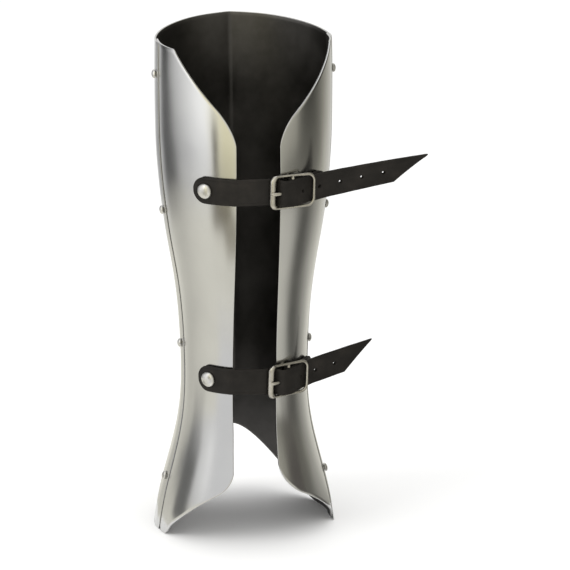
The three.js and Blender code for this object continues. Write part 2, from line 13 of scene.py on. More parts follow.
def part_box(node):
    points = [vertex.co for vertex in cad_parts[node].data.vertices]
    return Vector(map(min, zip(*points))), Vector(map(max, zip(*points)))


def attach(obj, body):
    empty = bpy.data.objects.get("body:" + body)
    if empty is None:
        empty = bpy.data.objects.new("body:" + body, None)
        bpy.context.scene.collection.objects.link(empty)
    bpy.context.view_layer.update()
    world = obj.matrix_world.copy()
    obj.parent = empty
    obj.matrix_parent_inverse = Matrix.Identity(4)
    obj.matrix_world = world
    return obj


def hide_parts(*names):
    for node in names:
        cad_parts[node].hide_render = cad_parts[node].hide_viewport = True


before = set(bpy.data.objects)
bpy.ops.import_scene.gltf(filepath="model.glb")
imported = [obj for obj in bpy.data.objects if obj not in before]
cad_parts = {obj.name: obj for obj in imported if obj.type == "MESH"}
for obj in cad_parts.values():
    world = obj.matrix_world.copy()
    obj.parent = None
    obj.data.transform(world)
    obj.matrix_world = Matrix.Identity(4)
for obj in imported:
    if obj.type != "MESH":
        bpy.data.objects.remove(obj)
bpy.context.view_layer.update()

MM = 0.001
UP = Vector((0, 0, 1))

# Sizes of the shell
shin_low, shin_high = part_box("shin_plate")
GREAVE_HEIGHT = (shin_high.z - shin_low.z) / MM
CALF_HALF_WIDTH = 66.0
SHIN_DEPTH = 65.0
CALF_DEPTH = 76.5
PLATE_WALL = 1.5
CLEARANCE = 0.3
LEATHER_GAP = 0.8
SHIN_RIDGE = 4.0
SHIN_RIDGE_SPREAD = math.radians(9)
LAP_WIDTH = 14.0
TOP_DIP = 5.0
LAP_GAP = 0.1
SHIN_LIFT = PLATE_WALL + LAP_GAP
FEATHER_WIDTH = 8.0
FEATHER_SHARE = 0.4
EDGE_ROUND = 0.28

# The rounding of a plate's cut edge from its inner to its outer face, as shares of the wall and of EDGE_ROUND
EDGE_PROFILE = [
    {"wall": 0.0, "inset": 1.0},
    {"wall": 0.12, "inset": 0.3},
    {"wall": 0.5, "inset": 0.0},
    {"wall": 0.88, "inset": 0.3},
    {"wall": 1.0, "inset": 1.0},
]

# The planishing, as broad hollows with finer ones in them
HAMMER_DEPTH = 0.26
HAMMER_HOLLOWS = [
    {"width": 34.0, "height": 60.0, "shift": 0.0, "share": 1.0},
    {"width": 13.0, "height": 24.0, "shift": 7.0, "share": 0.3},
]

# Sizes of the cut edges
INSTEP_RISE = 58.0
HEEL_RISE = 50.0
REAR_GAP = 33.0
REAR_FLARE = 3.0
REAR_FLARE_HEIGHT = 90.0
NOTCH_HEIGHT = GREAVE_HEIGHT - 61.0
NOTCH_CORNER_RADIUS = 14.0
SEAM_ANGLE = math.radians(90)
LOBE_FRONT_ANGLE = math.radians(66)
HEEL_ANGLE = math.radians(166)
HEEL_EASE = 0.15

# The cut of the two calf plates
CALF_CUTS = {
    "outer": {"side": 1, "rise_from": math.radians(103), "corner_radius": 12.0, "notch_reach": 55.0},
    "inner": {"side": -1, "rise_from": math.radians(88), "corner_radius": 20.0, "notch_reach": 68.0},
}

# The calf plates' inside at even steps of height, as shares of the half width and the two depths
SECTIONS = [
    {"width": 1.041, "shin": 1.44, "calf": 0.967},
    {"width": 0.979, "shin": 1.32, "calf": 0.92},
    {"width": 0.871, "shin": 1.14, "calf": 0.845},
    {"width": 0.771, "shin": 0.95, "calf": 0.755},
    {"width": 0.715, "shin": 0.855, "calf": 0.695},
    {"width": 0.711, "shin": 0.834, "calf": 0.704},
    {"width": 0.723, "shin": 0.845, "calf": 0.74},
    {"width": 0.752, "shin": 0.872, "calf": 0.79},
    {"width": 0.806, "shin": 0.905, "calf": 0.862},
    {"width": 0.879, "shin": 0.935, "calf": 0.928},
    {"width": 0.938, "shin": 0.963, "calf": 0.975},
    {"width": 0.98, "shin": 0.985, "calf": 1.0},
    {"width": 1.0, "shin": 1.0, "calf": 1.0},
    {"width": 1.003, "shin": 1.015, "calf": 0.975},
    {"width": 1.003, "shin": 1.045, "calf": 0.935},
    {"width": 0.995, "shin": 1.09, "calf": 0.895},
]

# Sizes of the leather
STRAP_WIDTH = 21.0
STRAP_THICKNESS = 2.2
STRAP_POINT = 27.0
TAB_WIDTH = 20.6
TAB_THICKNESS = 1.5
TAB_RIVET_REACH = 25.0
HOLE_RADIUS = 1.4
HOLE_TAPER = {"back": 0.2, "face": 1.4}
HOLE_SPACING = 18.0
FIRST_HOLE_FROM_TIP = 36.0
SHARP_ANGLE = math.radians(42)

# The section of the leather, and how much of a narrow strip's width each part of it may take
EDGE_SHARE = 0.32
LINE_INSET = 2.2
LINE_HALF = 0.4
LINE_DEPTH = 0.18
CROWN = 0.06
NARROW = {"edge": 0.2, "inset": 0.3, "half": 0.06}

# The leather's ends and edges: the thickness left at a rounded tip, the slant of the point as a share of the
# width, and the slow wander of the cut edges
TIP_SHARE = 0.45
POINT_SLANT = 0.97
EDGE_WANDER = {"depth": 0.12, "length": 9.0}

# Steps along the leather where it is plain, bent in the buckle, pointed, and folded as a tab
PLAIN_STEP = 2.4
BEND_STEP = 0.7
POINT_STEP = 2.0
TAB_STEP = 0.8

# Sizes of the buckles
BUCKLE_LENGTH = 38.0
BUCKLE_HEIGHT = 27.0
BUCKLE_CORNER = 4.5
KEEPER_CORNER = 5.5
WIRE_RADIUS = 1.1
END_BAR_RADIUS = 2.4
CENTRE_BAR_RADIUS = 1.2
TONGUE_WALL = 1.5
TONGUE_WIDTH = 2.6
TONGUE_CURL = {"start": -225, "end": 112}
BUCKLE_REACH = 25.0

# Where the tongue's corners are cut off, in shares of half its width and half its wall
TONGUE_FACE = 0.62
TONGUE_SIDE = 0.5

# Sizes of the rivets, whose heads are the flatter on top the smaller their squash is
SIDE_RIVET = {"radius": 3.5, "dome": 2.4, "squash": 0.95}
STRAP_RIVET = {"radius": 6.0, "dome": 3.6, "squash": 0.9}
TAB_RIVET = {"radius": 4.0, "dome": 1.8, "squash": 0.9}
SHANK_RADIUS = 2.0
HEAD_RIM = 0.25
HEAD_BEVEL = 0.35
HEAD_RIPPLE = 0.012
TAIL_RADIUS = 3.4
TAIL_THICKNESS = 1.1
TAIL_FLAT = 0.55
TAIL_GAP = 0.6
SIDE_RIVETS = 4
LOWEST_RIVET = 42.0
HIGHEST_RIVET = GREAVE_HEIGHT - 31.0

# The two straps, with lengths in millimetres and the twist in degrees
STRAPS = [
    {"name": "upper", "height": GREAVE_HEIGHT - 109.0, "rivet_reach": 39.5, "turn": 0.62,
     "tail": 95.0, "rise": 10.0, "spread": 5.0, "twist": 24.0},
    {"name": "lower", "height": 132.5, "rivet_reach": 34.5, "turn": 0.8,
     "tail": 64.0, "rise": 9.0, "spread": 2.0, "twist": 6.0},
]

# The leg's axis in the row frame: the shin plate is even about it, and the side rivets lie beside it
side_low, side_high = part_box("outer_side_rivet_2")
AXIS = Vector(((shin_low.x + shin_high.x) / 2, (side_low.y + side_high.y) / 2, 0))


def to_row(p):
    return Vector(p) * MM + AXIS


def mix(a, b, t):
    return a + (b - a) * t


def smooth_step(t):
    s = min(max(t, 0.0), 1.0)
    return s * s * (3 - 2 * s)


# The form of the leg

def section_value(column, share):
    """A column of SECTIONS at a share of the height, as a cubic B-spline that ends on its end rows."""
    last = len(SECTIONS) - 1
    at = min(max(share, 0.0), 1.0) * last
    start = min(int(at), last - 1)
    t = at - start

    def value(i):
        if i < 0:
            return 2 * SECTIONS[0][column] - SECTIONS[1][column]
        if i > last:
            return 2 * SECTIONS[last][column] - SECTIONS[last - 1][column]
        return SECTIONS[i][column]

    weights = ((1 - t) ** 3, 3 * t**3 - 6 * t**2 + 4, 3 * (t + t**2 - t**3) + 1, t**3)
    return sum(weight * value(start - 1 + k) for k, weight in enumerate(weights)) / 6


def half_width_at(height):
    return CALF_HALF_WIDTH * section_value("width", height / GREAVE_HEIGHT)


def form_point(angle, height):
    share = height / GREAVE_HEIGHT
    x = CALF_HALF_WIDTH * section_value("width", share) * math.sin(angle)
    if math.cos(angle) > 0:
        depth = SHIN_DEPTH * section_value("shin", share)
    else:
        depth = CALF_DEPTH * section_value("calf", share)
    ridge = SHIN_RIDGE * math.exp(-abs(angle) / SHIN_RIDGE_SPREAD)
    return Vector((x, -depth * math.cos(angle) - ridge, height))


def form_frame(angle, height, lift):
    """A point lifted off the form with its height kept, and the directions out of and up the form there."""
    step = 0.01
    around = (form_point(angle + step, height) - form_point(angle - step, height)).normalized()
    up = (form_point(angle, height + step) - form_point(angle, height - step)).normalized()
    out = around.cross(up).normalized()
    level = out.x**2 + out.y**2
    point = form_point(angle, height) + Vector((out.x, out.y, 0)) * (lift / level)
    return point, out, up


def shin_rim(angle):
    return INSTEP_RISE * smooth_step(1 - abs(angle) / LOBE_FRONT_ANGLE)


def calf_rim(angle, rise_from):
    t = min(max((angle - rise_from) / (HEEL_ANGLE - rise_from), 0.0), 1.0)
    return HEEL_RISE * 0.5 * (t + math.sin(t * math.pi / 2)) * smooth_step(t / HEEL_EASE)


def top_height(angle):
    return GREAVE_HEIGHT - TOP_DIP * math.sin(min(abs(angle), SEAM_ANGLE)) ** 2


def gap_angle(height):
    low = max(1 - height / REAR_FLARE_HEIGHT, 0.0)
    return math.pi - math.asin((REAR_GAP / 2 + REAR_FLARE * low) / half_width_at(height))


def corner_cut(distance, radius):
    inside = max(radius - distance, 0.0)
    return radius - math.sqrt(radius**2 - inside**2)


# Materials

def node_material(name, metallic, roughness):
    material = bpy.data.materials.new(name)
    material.use_nodes = True
    shader = material.node_tree.nodes["Principled BSDF"]
    shader.inputs["Metallic"].default_value = metallic
    shader.inputs["Roughness"].default_value = roughness
    return material, material.node_tree, shader


def object_coordinates(tree, scale=(1, 1, 1)):
    where = tree.nodes.new("ShaderNodeTexCoord")
    mapping = tree.nodes.new("ShaderNodeMapping")
    mapping.inputs["Scale"].default_value = scale
    tree.links.new(where.outputs["Object"], mapping.inputs["Vector"])
    return mapping.outputs["Vector"]


def noise_texture(tree, scale, detail, rough, stretch=(1, 1, 1)):
    made = tree.nodes.new("ShaderNodeTexNoise")
    made.inputs["Scale"].default_value = scale
    made.inputs["Detail"].default_value = detail
    made.inputs["Roughness"].default_value = rough
    tree.links.new(object_coordinates(tree, stretch), made.inputs["Vector"])
    return made.outputs["Fac"]


def colour_ramp(tree, factor, stops):
    """A ramp through (place, colour) stops, where a colour is one grey value or three values."""
    made = tree.nodes.new("ShaderNodeValToRGB")
    ramp = made.color_ramp
    while len(ramp.elements) < len(stops):
        ramp.elements.new(0.5)
    for element, (place, colour) in zip(ramp.elements, stops):
        values = (colour,) * 3 if isinstance(colour, (int, float)) else colour
        element.position = place
        element.color = (*values, 1)
    tree.links.new(factor, made.inputs["Fac"])
    return made.outputs["Color"]


def colour_and_gloss(tree, shader, factor, colours, roughness):
    """Colour and roughness that follow one texture, each by the stops of a ramp."""
    tree.links.new(colour_ramp(tree, factor, colours), shader.inputs["Base Color"])
    tree.links.new(colour_ramp(tree, factor, roughness), shader.inputs["Roughness"])


def bump(tree, heights, shader):
    """Bump from (height, strength, distance in metres) layers, one laid on the other."""
    normal = None
    for height, strength, distance in heights:
        made = tree.nodes.new("ShaderNodeBump")
        made.inputs["Strength"].default_value = strength
        made.inputs["Distance"].default_value = distance
        tree.links.new(height, made.inputs["Height"])
        if normal:
            tree.links.new(normal, made.inputs["Normal"])
        normal = made.outputs["Normal"]
    tree.links.new(normal, shader.inputs["Normal"])


def polished_steel():
    """Satin-polished plate: fine upright polishing lines, small hazy patches and a faint warm cast."""
    material, tree, shader = node_material("polished steel", 1.0, 0.2)
    lines = noise_texture(tree, 700, 2, 0.5, (1, 1, 0.05))
    haze = noise_texture(tree, 24, 3, 0.5)
    greys = [(0.3, (0.61, 0.61, 0.605)), (0.7, (0.66, 0.66, 0.65))]
    colour_and_gloss(tree, shader, haze, greys, [(0.3, 0.17), (0.72, 0.23)])
    bump(tree, [(lines, 0.09, 0.00004)], shader)
    return material


def inner_steel():
    """The inside of the plates, left duller and greyer by the forge and wiped with oil."""
    material, tree, shader = node_material("inner steel", 1.0, 0.45)
    patches = noise_texture(tree, 18, 6, 0.62)
    grain = noise_texture(tree, 260, 6, 0.65)
    greys = [(0.32, (0.07, 0.067, 0.064)), (0.66, (0.135, 0.13, 0.125))]
    colour_and_gloss(tree, shader, patches, greys, [(0.3, 0.38), (0.7, 0.56)])
    bump(tree, [(patches, 0.25, 0.0006), (grain, 0.2, 0.00012)], shader)
    return material


def bright_metal(name, colour, roughness):
    """Nickel-bright rivets and buckles, a little worn."""
    material, tree, shader = node_material(name, 1.0, roughness)
    wear = noise_texture(tree, 240, 5, 0.6)
    colours = [(0.35, tuple(value * 0.8 for value in colour)), (0.6, colour)]
    colour_and_gloss(tree, shader, wear, colours, [(0.35, roughness + 0.14), (0.65, roughness)])
    bump(tree, [(wear, 0.1, 0.0001)], shader)
    return material


def strap_leather():
    """Nearly black brown leather with a fine grain, faint creases and rubbed spots."""
    material, tree, shader = node_material("strap leather", 0.0, 0.6)
    shader.inputs["Specular IOR Level"].default_value = 0.22
    cells = tree.nodes.new("ShaderNodeTexVoronoi")
    cells.feature = "DISTANCE_TO_EDGE"
    cells.inputs["Scale"].default_value = 1100
    tree.links.new(object_coordinates(tree), cells.inputs["Vector"])
    grain = colour_ramp(tree, cells.outputs["Distance"], [(0.0, 0.0), (0.28, 1.0)])
    patches = noise_texture(tree, 60, 6, 0.6)
    fibres = noise_texture(tree, 700, 5, 0.7)
    browns = [
        (0.25, (0.008, 0.0068, 0.0058)),
        (0.55, (0.0135, 0.0115, 0.0095)),
        (0.8, (0.022, 0.018, 0.0145)),
    ]
    colour_and_gloss(tree, shader, patches, browns, [(0.3, 0.68), (0.75, 0.5)])
    bump(tree, [(patches, 0.3, 0.0005), (grain, 0.35, 0.00012), (fibres, 0.15, 0.00008)], shader)
    return material


STEEL = polished_steel()
INNER_STEEL = inner_steel()
RIVET_METAL = bright_metal("rivet metal", (0.8, 0.79, 0.77), 0.28)
BUCKLE_METAL = bright_metal("buckle metal", (0.62, 0.595, 0.54), 0.24)
LEATHER = strap_leather()


# Making pieces

def new_object(name, data):
    made = bpy.data.objects.new(name, data)
    bpy.context.collection.objects.link(made)
    return made


def closed_object(name, verts, faces):
    """An object from millimetre points in the leg's axes, with its faces turned outwards."""
    mesh = bpy.data.meshes.new(name)
    mesh.from_pydata([to_row(v) for v in verts], [], faces)
    mesh.validate()
    tidy = bmesh.new()
    tidy.from_mesh(mesh)
    bmesh.ops.remove_doubles(tidy, verts=tidy.verts, dist=1e-7)
    bmesh.ops.recalc_face_normals(tidy, faces=tidy.faces)
    tidy.to_mesh(mesh)
    tidy.free()
    return new_object(name, mesh)


def new_piece(name, verts, faces, materials, replaced):
    """A piece that rides on the part and stands for CAD nodes."""
    made = closed_object(name, verts, faces)
    for material in materials:
        made.data.materials.append(material)
    for polygon in made.data.polygons:
        polygon.use_smooth = True
    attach(made, "root")
    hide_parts(*replaced)
    return made


def tube_faces(rings, sides, closed):
    """Quads between consecutive rings of points, with flat ends unless the tube is closed on itself."""
    faces = []
    spans = rings if closed else rings - 1
    for i in range(spans):
        a = i * sides
        b = ((i + 1) % rings) * sides
        for k in range(sides):
            turned = (k + 1) % sides
            faces.append((a + k, a + turned, b + turned, b + k))
    if not closed:
        faces.append(tuple(reversed(range(sides))))
        faces.append(tuple(range((rings - 1) * sides, rings * sides)))
    return faces


# The plates

def hammer(point):
    """The planishing left in the plate: shallow, slightly upright hollows a few centimetres across."""
    total = 0.0
    for row in HAMMER_HOLLOWS:
        across = row["width"]
        at = Vector((point.x / across + row["shift"], point.y / across, point.z / row["height"]))
        total += row["share"] * noise.noise(at)
    return HAMMER_DEPTH * total


def plate_piece(name, columns, rows, place, replaced):
    """A plate over a grid of columns and rows, with its cut edges rounded."""
    verts = []
    index = {}

    def vert(column, row, level):
        key = (column, row, level)
        if key not in index:
            edge = EDGE_PROFILE[level]
            index[key] = len(verts)
            verts.append(place(column, row, edge["wall"], EDGE_ROUND * edge["inset"]))
        return index[key]

    faces = []
    inner_faces = []
    top = len(EDGE_PROFILE) - 1
    for row in range(rows):
        for column in range(columns):
            corners = [(column, row), (column + 1, row), (column + 1, row + 1), (column, row + 1)]
            inner_faces.append(len(faces))
            for level in (0, top):
                faces.append([vert(c, r, level) for c, r in corners])
    border = [(c, 0) for c in range(columns)] + [(columns, r) for r in range(rows)]
    border += [(c, rows) for c in range(columns, 0, -1)] + [(0, r) for r in range(rows, 0, -1)]
    for a, b in zip(border, border[1:] + border[:1]):
        for level in range(top):
            faces.append([vert(*a, level), vert(*b, level), vert(*b, level + 1), vert(*a, level + 1)])
    made = new_piece(name, verts, faces, [STEEL, INNER_STEEL], replaced)
    for i in inner_faces:
        made.data.polygons[i].material_index = 1


def lifted(angle, height, lift, wall_share):
    """A plate's point, with the planishing let into both faces alike."""
    point, out, _ = form_frame(angle, height, lift + wall_share * PLATE_WALL)
    return point + out * (hammer(point) - HAMMER_DEPTH)


def shin_plate():
    """The shin plate, filed thinner towards its two rear edges, where it lies over the calf plates."""
    columns, rows = 132, 120
    lap = LAP_WIDTH / 2 / CALF_HALF_WIDTH

    def place(column, row, wall_share, inset):
        reach = SEAM_ANGLE + lap - inset / CALF_HALF_WIDTH
        angle = mix(-reach, reach, column / columns)
        height = mix(shin_rim(angle) + inset, top_height(angle) - inset, row / rows)
        from_edge = (reach - abs(angle)) * CALF_HALF_WIDTH
        thickness = mix(FEATHER_SHARE, 1.0, smooth_step(from_edge / FEATHER_WIDTH))
        return lifted(angle, height, SHIN_LIFT + HAMMER_DEPTH, wall_share * thickness)

    plate_piece("shin_plate_shell", columns, rows, place, ["shin_plate"])


def calf_plate(key):
    shape = CALF_CUTS[key]
    plain_columns, corner_columns, rows = 46, 18, 120
    columns = plain_columns + corner_columns
    lap = LAP_WIDTH / 2 / CALF_HALF_WIDTH
    widest = max(shape["corner_radius"], NOTCH_CORNER_RADIUS)
    corner_share = widest / ((gap_angle(NOTCH_HEIGHT) - SEAM_ANGLE + lap) * CALF_HALF_WIDTH)

    def share_at(column):
        if column <= plain_columns:
            return (1 - corner_share) * column / plain_columns
        turn = (column - plain_columns) / corner_columns * math.pi / 2
        return 1 - corner_share * (1 - math.sin(turn))

    def place(column, row, wall_share, inset):
        share = share_at(column)

        def angle_at(height):
            start = SEAM_ANGLE - lap + inset / CALF_HALF_WIDTH
            return mix(start, gap_angle(height) - inset / CALF_HALF_WIDTH, share)

        rim_edge = (gap_angle(HEEL_RISE) - angle_at(HEEL_RISE)) * half_width_at(HEEL_RISE)
        top_edge = (gap_angle(NOTCH_HEIGHT) - angle_at(NOTCH_HEIGHT)) * half_width_at(NOTCH_HEIGHT)
        low = calf_rim(angle_at(HEEL_RISE), shape["rise_from"]) + corner_cut(rim_edge, shape["corner_radius"])
        notch = mix(NOTCH_HEIGHT, top_height(SEAM_ANGLE), min(top_edge / shape["notch_reach"], 1.0))
        high = notch - corner_cut(top_edge, NOTCH_CORNER_RADIUS)
        height = mix(low + inset, high - inset, row / rows)
        return lifted(shape["side"] * angle_at(height), height, HAMMER_DEPTH, wall_share)

    name = key + "_calf_plate"
    plate_piece(name + "_shell", columns, rows, place, [name])


# Rivets

def rivet_piece(node, angle, height, lift, size):
    """A hand-set rivet: a domed head a little flattened on top, its shank, and the upset tail behind."""
    seat, out, _ = form_frame(angle, height, lift)
    grip = lift + TAIL_GAP
    sides, rings, tail_rings = 40, 10, 4
    profile = [(0.0, -grip - TAIL_THICKNESS)]
    for k in range(tail_rings + 1):
        turn = k / tail_rings * math.pi / 2
        radius = TAIL_RADIUS * mix(TAIL_FLAT, 1.0, math.sin(turn))
        profile.append((radius, -grip - TAIL_THICKNESS * math.cos(turn)))
    profile += [(SHANK_RADIUS, -grip), (SHANK_RADIUS, 0.0)]
    profile += [(size["radius"] - HEAD_BEVEL, 0.0), (size["radius"], HEAD_RIM)]
    for k in range(1, rings):
        turn = k / rings * math.pi / 2
        rise = mix(HEAD_RIM, size["dome"], math.sin(turn) ** size["squash"])
        profile.append((size["radius"] * math.cos(turn), rise))
    profile.append((0.0, size["dome"]))
    turn_to = UP.rotation_difference(out).to_matrix()
    verts = []
    for radius, rise in profile:
        for k in range(sides):
            turn = k / sides * math.tau
            ripple = 1 + HEAD_RIPPLE * math.sin(3 * turn + len(node)) * (radius > SHANK_RADIUS)
            reach = radius * ripple
            verts.append(seat + turn_to @ Vector((reach * math.cos(turn), reach * math.sin(turn), rise)))
    faces = tube_faces(len(profile), sides, False)
    new_piece(node + "_set", verts, faces, [RIVET_METAL], [node])


# The straps

def smoothed(stations, steps):
    """Catmull-Rom stations (point, up, distance) through a list of (point, up)."""
    def blend(a, b, c, d, t):
        return 0.5 * (
            a * (-t + 2 * t**2 - t**3) + b * (2 - 5 * t**2 + 3 * t**3)
            + c * (t + 4 * t**2 - 3 * t**3) + d * (t**3 - t**2)
        )

    last = len(stations) - 1
    fine = []
    for i in range(last):
        four = [stations[min(max(j, 0), last)] for j in range(i - 1, i + 3)]
        for k in range(steps):
            t = k / steps
            fine.append((blend(*(s[0] for s in four), t), blend(*(s[1] for s in four), t).normalized()))
    fine.append(stations[last])
    distance = 0.0
    found = []
    for i, (point, up) in enumerate(fine):
        if i:
            distance += (point - fine[i - 1][0]).length
        found.append((point, up, distance))
    return found


def station_at(fine, distance):
    after = next((i for i, s in enumerate(fine) if s[2] >= distance), len(fine) - 1)
    after = max(after, 1)
    a, b = fine[after - 1], fine[after]
    t = (distance - a[2]) / (b[2] - a[2])
    return a[0].lerp(b[0], t), a[1].lerp(b[1], t).normalized()


def round_end(distance, half):
    inside = max(half - distance, 0.0)
    return math.sqrt(max(half**2 - inside**2, 0.0))


class Buckle:
    """A buckle's axes: u level towards the strap's free end, v out of the leg and w up along the plate."""

    def __init__(self, strap):
        self.angle = BUCKLE_REACH / half_width_at(strap["height"]) - math.pi
        self.seat, out, up = form_frame(self.angle, strap["height"], PLATE_WALL)
        turn = math.atan2(-out.x, out.y) * strap["turn"]
        self.along = Vector((-math.cos(turn), -math.sin(turn), 0))
        self.up = (up - self.along * up.dot(self.along)).normalized()
        self.out = self.along.cross(self.up)

    def at(self, u, v, w=0.0):
        return self.seat + self.along * u + self.out * v + self.up * w


# Places in the buckle that its parts and the leather share
FOLD_RADIUS = CENTRE_BAR_RADIUS + LEATHER_GAP + TAB_THICKNESS
BAR_LIFT = FOLD_RADIUS + LEATHER_GAP
END_BAR_PLACE = -(BUCKLE_LENGTH / 2 - END_BAR_RADIUS)
KEEPER_PLACE = BUCKLE_LENGTH / 2 - WIRE_RADIUS
TONGUE_TOP = BAR_LIFT + END_BAR_RADIUS + CLEARANCE + TONGUE_WALL / 2
TONGUE_ROOM = CLEARANCE + 0.1
WRAP_GAP = 1.2 * LEATHER_GAP
ENTRY_DROP = 0.9
BEND_LENGTH = BUCKLE_LENGTH * 1.35


def strap_stations(strap, buckle):
    """The strap's middle line: round the plate, under and over the end bar, under the keeper, and out."""
    lift = PLATE_WALL + LEATHER_GAP + STRAP_THICKNESS / 2
    half_width = half_width_at(strap["height"])
    rivet_angle = math.pi - strap["rivet_reach"] / half_width
    start_angle = rivet_angle - STRAP_WIDTH / 2 / (half_width + lift)
    edge_angle = gap_angle(strap["height"])
    wraps = 9
    stations = []
    for i in range(wraps + 1):
        point, _, up = form_frame(mix(start_angle, edge_angle, i / wraps), strap["height"], lift)
        stations.append((point, up))
    half = STRAP_THICKNESS / 2
    under_end = BAR_LIFT - END_BAR_RADIUS - LEATHER_GAP - half
    over_bar = BAR_LIFT + FOLD_RADIUS + CLEARANCE + half
    over_tongue = TONGUE_TOP + TONGUE_WALL / 2 + CLEARANCE + half
    under_keeper = BAR_LIFT - WIRE_RADIUS - LEATHER_GAP - half
    wrap = END_BAR_RADIUS + WRAP_GAP + half
    through = [
        (END_BAR_PLACE - wrap, under_end - ENTRY_DROP),
        (END_BAR_PLACE, under_end),
        (END_BAR_PLACE + wrap * 0.75, BAR_LIFT - wrap * 0.72),
        (END_BAR_PLACE + wrap * 1.15, BAR_LIFT + wrap * 0.2),
        (END_BAR_PLACE + wrap * 1.5, mix(BAR_LIFT, over_tongue, 0.78)),
        (END_BAR_PLACE + wrap * 2.1, over_tongue),
        (0.0, over_bar),
        (KEEPER_PLACE * 0.5, mix(over_bar, under_keeper, 0.5)),
        (KEEPER_PLACE * 0.75, mix(over_bar, under_keeper, 0.82)),
        (KEEPER_PLACE * 0.87, mix(over_bar, under_keeper, 0.93)),
        (KEEPER_PLACE, under_keeper),
    ]
    stations += [(buckle.at(u, v), buckle.up) for u, v in through]
    tail_steps = 8
    for i in range(1, tail_steps + 1):
        t = i / tail_steps
        lift = under_keeper - WIRE_RADIUS * (1 - t) + strap["spread"] * t**2
        point = buckle.at(KEEPER_PLACE + strap["tail"] * t, lift, strap["rise"] * t)
        stations.append((point, buckle.up))
    return stations


def strip_section(above, below, thickness):
    """A strip's outline across its length, in (up, out), with a tooled line near each edge of its face."""
    width = above + below
    half = thickness / 2
    soft = min(EDGE_SHARE * thickness, NARROW["edge"] * width)
    line = min(LINE_INSET, NARROW["inset"] * width)
    line_half = min(LINE_HALF, NARROW["half"] * width)
    depth = LINE_DEPTH * min(width / STRAP_WIDTH, 1.0)
    low = -below
    middle = (above - below) / 2
    nip = 0.3 * soft
    shoulder = 0.7 * half
    return [
        (low, 0.0),
        (low + nip, shoulder),
        (low + soft, half),
        (low + line - line_half, half),
        (low + line, half - depth),
        (low + line + line_half, half),
        (middle, half + CROWN),
        (above - line - line_half, half),
        (above - line, half - depth),
        (above - line + line_half, half),
        (above - soft, half),
        (above - nip, shoulder),
        (above, 0.0),
        (above - nip, -shoulder),
        (above - soft, -half),
        (middle, -half),
        (low + soft, -half),
        (low + nip, -shoulder),
    ]


def strip_mesh(stations, thickness):
    """A leather strip through stations of point, up, above, below, roll and share of the thickness."""
    verts = []
    last = len(stations) - 1
    for i, station in enumerate(stations):
        along = (stations[min(i + 1, last)]["point"] - stations[max(i - 1, 0)]["point"]).normalized()
        up = station["up"]
        across = (up - along * up.dot(along)).normalized()
        across = Matrix.Rotation(station["roll"], 3, along) @ across
        out = along.cross(across)
        section = strip_section(station["above"], station["below"], thickness * station["share"])
        verts += [station["point"] + across * w + out * v for w, v in section]
    sides = len(verts) // len(stations)
    return verts, tube_faces(len(stations), sides, False)


def cut(piece, cutters):
    """Takes closed meshes out of a piece."""
    for verts, faces in cutters:
        cutter = closed_object("cutter", verts, faces)
        step = piece.modifiers.new("cut", "BOOLEAN")
        step.operation = "DIFFERENCE"
        step.solver = "EXACT"
        step.object = cutter
        graph = bpy.context.evaluated_depsgraph_get()
        result = bpy.data.meshes.new_from_object(piece.evaluated_get(graph))
        piece.modifiers.clear()
        spent = (cutter.data, piece.data)
        piece.data = result
        bpy.data.objects.remove(cutter)
        for mesh in spent:
            bpy.data.meshes.remove(mesh)


def rod_mesh(start, end, start_radius, end_radius):
    sides = 28
    axis = (end - start).normalized()
    turn_to = UP.rotation_difference(axis).to_matrix()
    verts = []
    for point, radius in ((start, start_radius), (end, end_radius)):
        for k in range(sides):
            angle = k / sides * math.tau
            verts.append(point + turn_to @ Vector((radius * math.cos(angle), radius * math.sin(angle), 0)))
    return verts, tube_faces(2, sides, False)


def spread_steps(start, end, step):
    count = max(round((end - start) / step), 1)
    return [mix(start, end, i / count) for i in range(1, count + 1)]


def end_steps(half):
    """Distances from a rounded end, close together near the tip."""
    steps = 12
    first_turn = 0.12
    return [half * (1 - math.cos(mix(first_turn, math.pi / 2, i / steps))) for i in range(steps + 1)]


def edge_share(distance, thickness):
    """How much of a strip's thickness is left at a distance from its rounded tip."""
    inside = max(1 - distance / (0.5 * thickness), 0.0)
    return mix(TIP_SHARE, 1.0, math.sqrt(1 - inside**2))


